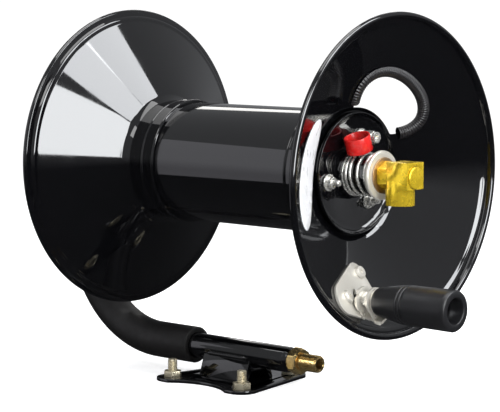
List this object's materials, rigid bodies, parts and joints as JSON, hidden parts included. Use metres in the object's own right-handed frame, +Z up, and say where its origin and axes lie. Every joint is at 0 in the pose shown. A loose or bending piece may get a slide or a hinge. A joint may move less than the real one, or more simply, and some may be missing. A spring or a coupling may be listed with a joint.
{
  "type": "hose reel",
  "caption": "Steel pressure hose reel: drum between two dished discs on a bent arm tube and bolt-down plate, with crank grip, drag spring, drum lock and swivel elbow.",
  "frame": {"origin": "underside of the base plate, in the middle between its studs", "axes": "+X along the axle towards the crank side, +Y to the rear, +Z up"},
  "size_m": [0.538, 0.3048, 0.3694],
  "materials": {
    "black_enamel": "gloss enamel",
    "sleeve_rubber": "matte",
    "yellow_zinc": "yellow passivated zinc",
    "bright_zinc": "bright zinc",
    "cream_zinc": "clear passivated zinc",
    "turned_steel": "turned",
    "black_oxide": "black oxide",
    "grey_iron": "as cast",
    "bronze": "sintered bronze",
    "nylon": "natural nylon",
    "brass": "turned brass",
    "elbow_brass": "bright forged brass",
    "seal_rubber": "matte",
    "red_plastic": "glossy",
    "grip_plastic": "satin",
    "loom_plastic": "ribbed satin",
    "label_film": "blank white film"
  },
  "bodies": {
    "stand": {"base_plate": "black_enamel", "tube_cradle": "black_enamel", "cradle_welds": "black_enamel", "base_studs": "yellow_zinc", "base_nuts": "yellow_zinc", "arm_tube": "black_enamel", "arm_sleeve": "sleeve_rubber", "inlet_bush": "black_enamel", "inlet_nipple": "brass", "axle": "turned_steel", "axle_weld": "black_enamel", "left_collar": "bright_zinc", "left_collar_screw": "black_oxide", "lock_collar": "turned_steel", "thrust_washer": "bronze", "axle_seals": "seal_rubber"},
    "reel": {"left_disc": "black_enamel", "right_disc": "black_enamel", "left_neck": "black_enamel", "right_neck": "black_enamel", "drum": "black_enamel", "left_hub_plate": "black_enamel", "right_hub_plate": "black_enamel", "left_bearing_housing": "grey_iron", "right_bearing_housing": "grey_iron", "left_bush": "bronze", "right_bush": "bronze", "left_hub_screws": "bright_zinc", "left_hub_nuts": "bright_zinc", "hub_studs": "bright_zinc", "hub_washers": "bright_zinc", "hub_nuts": "bright_zinc", "hub_standoff": "bright_zinc", "standoff_screw": "bright_zinc", "hub_sleeve": "black_enamel", "spring_washer": "bright_zinc", "drag_spring": "bright_zinc", "spring_cup": "cream_zinc", "opening_trim": "loom_plastic", "blank_label": "label_film", "crank_bracket": "cream_zinc", "bracket_bolts": "cream_zinc", "bracket_nuts": "bright_zinc", "grip_spindle": "turned_steel", "spindle_nut": "bright_zinc", "grip_washer": "cream_zinc"},
    "grip": {"grip": "grip_plastic", "grip_bush": "nylon"},
    "lock": {"lock_pin": "bright_zinc", "lock_cap": "red_plastic", "pin_ring": "seal_rubber"},
    "elbow": {"elbow_body": "elbow_brass", "elbow_plug": "elbow_brass", "plug_seal": "seal_rubber"}
  },
  "joints": [
    {"name": "drum_spin", "type": "hinge", "parent": "stand", "child": "reel", "pos_m": [0.028, 0, 0.217], "axis": [1, 0, 0], "continuous": true},
    {"name": "grip_spin", "type": "hinge", "parent": "reel", "child": "grip", "pos_m": [0.256, -0.042, 0.106], "axis": [1, 0, 0], "continuous": true},
    {"name": "lock_slide", "type": "slide", "parent": "reel", "child": "lock", "axis": [0, -0.342, 0.9397], "range_m": [-0.002, 0]},
    {"name": "elbow_swivel", "type": "hinge", "parent": "stand", "child": "elbow", "pos_m": [0.2, 0, 0.217], "axis": [1, 0, 0], "continuous": true}
  ]
}
